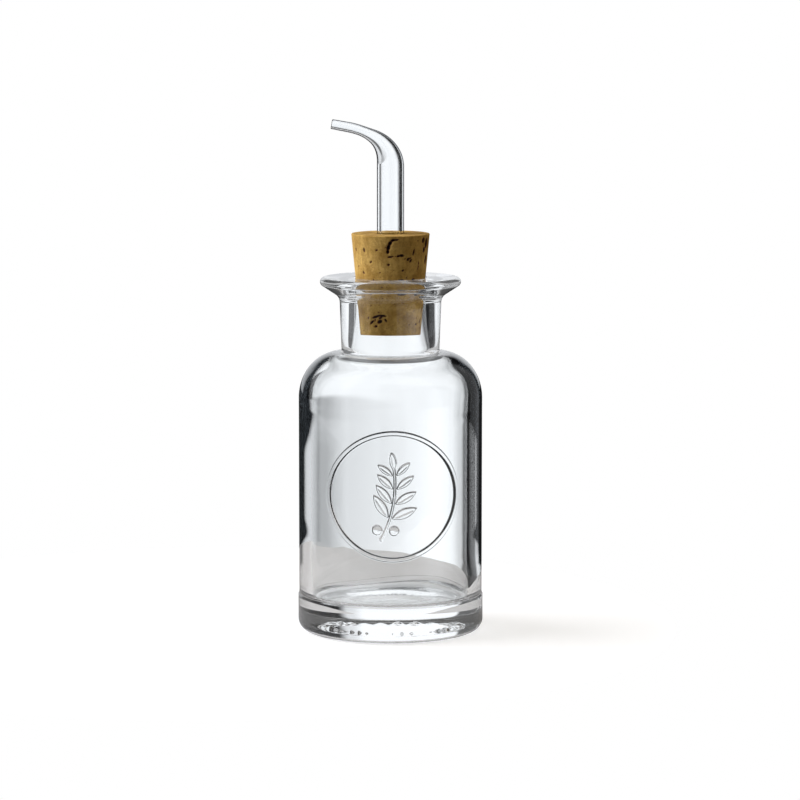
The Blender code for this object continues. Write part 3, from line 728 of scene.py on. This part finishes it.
# The outline of the drawn part is thin, so the attribute of its painted dark outline grows from stem to
# nozzle.
stem_edge, nozzle_edge = 1.0, 1.4
drawn_edge = np.interp(tube_travel, [stem_length, stem_length + drawn_length], [stem_edge, nozzle_edge])
tube_outline_shade = np.where(np.arange(len(tube_travel)) < len(travel_out), drawn_edge, 0.0).astype(np.float32)
tube_attribute = pouring_tube.data.attributes.new("edge", "FLOAT", "POINT")
tube_attribute.data.foreach_set("value", np.repeat(tube_outline_shade, len(tube_turns)))
# Its outline is painted dark too, and it glows grey where a ray is given up, as painted light.
pouring_tube.data.materials.append(glass_material(
    "clear_tube_glass", tint=(0.99, 0.995, 0.995), painted_outline_tint=(0.03, 0.032, 0.035), waviness=0.02,
    lip_glow=0.06, glow=0.06))
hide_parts("pouring_tube")
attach(pouring_tube, "spout")


# Table and studio. A round white table, a white backdrop behind it, black flags beside the backdrop that
# draw the glass's dark edges, and soft boxes at the sides and overhead.
table_radius, table_across, table_back, table_drop = 165 * MM, -62 * MM, 12 * MM, 0.1 * MM
table_mesh = bpy.data.meshes.new("table")
rim = np.radians(np.linspace(0, 360, 128, endpoint=False))
table_points = np.column_stack([table_across + table_radius * np.cos(rim),
                                table_back + table_radius * np.sin(rim), np.full(len(rim), -table_drop)])
table_mesh.from_pydata(table_points, [], [list(range(len(rim)))])
table = bpy.data.objects.new("table", table_mesh)
bpy.context.scene.collection.objects.link(table)
# The camera sees the table near white, with the bottle's shadow on it. Seen through glass it glows a dim
# grey, painted light that is less dim beside the bottle and before it than behind it.
table_glow, table_seen, table_beside = 0.68, 0.12, 0.22
table_material = bpy.data.materials.new("white_table")
nodes = Nodes(table_material)
path = nodes.add("LightPath")
sent = Wire(path.outputs["Is Transmission Ray"])
place = nodes.add("SeparateXYZ", Vector=nodes.add("TexCoord").outputs["Object"])
place_x, place_y = Wire(place.outputs["X"]), Wire(place.outputs["Y"])
matt = nodes.add("BsdfDiffuse", Color=(0.4, 0.405, 0.435, 1.0))
aside = nodes.ramped(place_x.math("ABSOLUTE") - place_y * 1.4, -40.0 * MM, 60.0 * MM)
# Painted light: the table's glow seen through glass, weaker behind the bottle.
passed = sent * (table_seen + aside * table_beside)
shown = Wire(path.outputs["Is Camera Ray"]) * table_glow + passed
glow = nodes.add("Emission", Color=(1.0, 1.0, 1.0, 1.0), Strength=shown)
both = nodes.add("AddShader", _0=matt.outputs[0], _1=glow.outputs[0])
nodes.add("OutputMaterial", Surface=both.outputs[0])
table_mesh.materials.append(table_material)

# The studio is a picture on the world. Each way out is told by its bearing, which is 0 straight behind the
# bottle and grows to the right, and by its height over the horizon, both in degrees.
world = bpy.data.worlds.new("studio")
bpy.context.scene.world = world
nodes = Nodes(world)
path = nodes.add("LightPath")
way = nodes.add("SeparateXYZ", Vector=nodes.add("TexCoord").outputs["Generated"])
way_x, way_y, way_z = (Wire(way.outputs[i]) for i in range(3))
degrees = 180 / np.pi
bearing = way_x.math("ARCTAN2", way_y) * degrees
height = way_z.math("ARCSINE") * degrees


def between(value, low, high, soft):
    """1 where value is from low to high, eased to 0 over soft at each end."""
    rise = nodes.ramped(value, low - soft / 2, low + soft / 2)
    return rise * nodes.ramped(value, high + soft / 2, high - soft / 2)


# What shows through the glass: a white backdrop, greyer low down on its left, with a black flag at its left
# end, a white wall at each side, dimmer once the glass has mirrored it, and a dark floor with pale patches.
black = 0.015
low = nodes.ramped(height, -6.3, -8.0)
upper = 1.13 - between(bearing, -62.0, -34.0, 4.0)
lower = 0.52 + nodes.ramped(bearing, -9.5, -3.0) * 0.33 + nodes.ramped(bearing, -4.0, 5.0) * 0.30
lower = lower + nodes.ramped(bearing, -22.0, -34.0) * 0.25
right_end = (1 - nodes.ramped(bearing, 12.0, 19.0) * 0.28) * nodes.ramped(bearing, 26.5, 20.0)
backdrop = nodes.ramped(bearing, -66.0, -62.0) * right_end * (upper + (lower - upper) * low)
sides = between(bearing, -118.0, -70.0, 6.0) + between(bearing, 106.0, 164.0, 6.0)
turned = nodes.reached(Wire(path.outputs["Glossy Depth"]), 1)
level = black + backdrop + sides * (1 - turned * 0.4)
across_view = (bearing + 45.0).math("PINGPONG", 90.0)
patches = nodes.ramped(across_view, 35.0, 29.0)
under = 0.22 - between(bearing, -25.0, 25.0, 10.0) * 0.05 + patches * 0.65
shown = level + (under - level) * nodes.ramped(height, -11.0, -13.0)
# What the glass mirrors: a low soft box at the right, a taller one at the left, a faint strip at the
# right, a faint light overhead, the backdrop just above the horizon, and black flags elsewhere.
right_box = between(bearing, 100.0, 142.0, 26.0) * nodes.ramped(height, -6.0, -7.0)
right_box = right_box * nodes.ramped(height, -11.0, -9.6) * 1.2
left_box = between(bearing, -116.0, -76.0, 12.0) * nodes.ramped(height, -2.0, 12.0) * 0.8
strip_light = between(bearing, 34.0, 62.0, 8.0) * 0.3
overhead = nodes.ramped(height, 45.0, 60.0) * 0.3
behind = between(bearing, -32.0, 24.0, 8.0) * nodes.ramped(height, -3.0, -1.5)
behind = behind * nodes.ramped(height, 22.0, 12.0)
mirrored = 0.02 + (right_box + left_box) + strip_light + overhead + behind
sent = Wire(path.outputs["Is Transmission Ray"])
seen = mirrored + (shown - mirrored) * sent
seen_light = nodes.add("Background", Color=(0.94, 0.965, 1.0, 1.0), Strength=seen)
# What lights the cork and the table: a soft key at the left, a warm fill from overhead and the right that
# is faint all round, and for what stands inside glass also a soft light from the right.
left_key = between(bearing, -118.0, -52.0, 20.0) * between(height, -5.0, 65.0, 20.0) * 5.5
right_key = sent * between(bearing, 70.0, 150.0, 20.0) * between(height, -30.0, 40.0, 20.0) * 1.2
fill = 0.06 + nodes.ramped(height, 50.0, 70.0) + between(bearing, 60.0, 130.0, 20.0) * 0.42
key_light = nodes.add("Background", Color=(1.0, 1.0, 1.0, 1.0), Strength=left_key + right_key)
fill_light = nodes.add("Background", Color=(1.0, 0.88, 0.66, 1.0), Strength=fill)
lit_light = nodes.add("AddShader", _0=key_light.outputs[0], _1=fill_light.outputs[0])
# A ray that glass has sent on or mirrored, and that has met nothing matt, meets one of the first two. The
# camera itself meets plain white, and any other ray meets the lights.
by_glass = Wire(path.outputs["Is Glossy Ray"]).math("MAXIMUM", sent)
by_glass = by_glass * (1 - Wire(path.outputs["Diffuse Depth"])).math("MAXIMUM", 0.0)
camera_light = nodes.add("Background", Color=(1.0, 1.0, 1.0, 1.0), Strength=1.0)
around = nodes.add("MixShader", _0=by_glass, _1=lit_light.outputs[0], _2=seen_light.outputs[0])
studio = nodes.add("MixShader", _0=Wire(path.outputs["Is Camera Ray"]), _1=around.outputs[0],
                   _2=camera_light.outputs[0])
nodes.add("OutputWorld", Surface=studio.outputs[0])
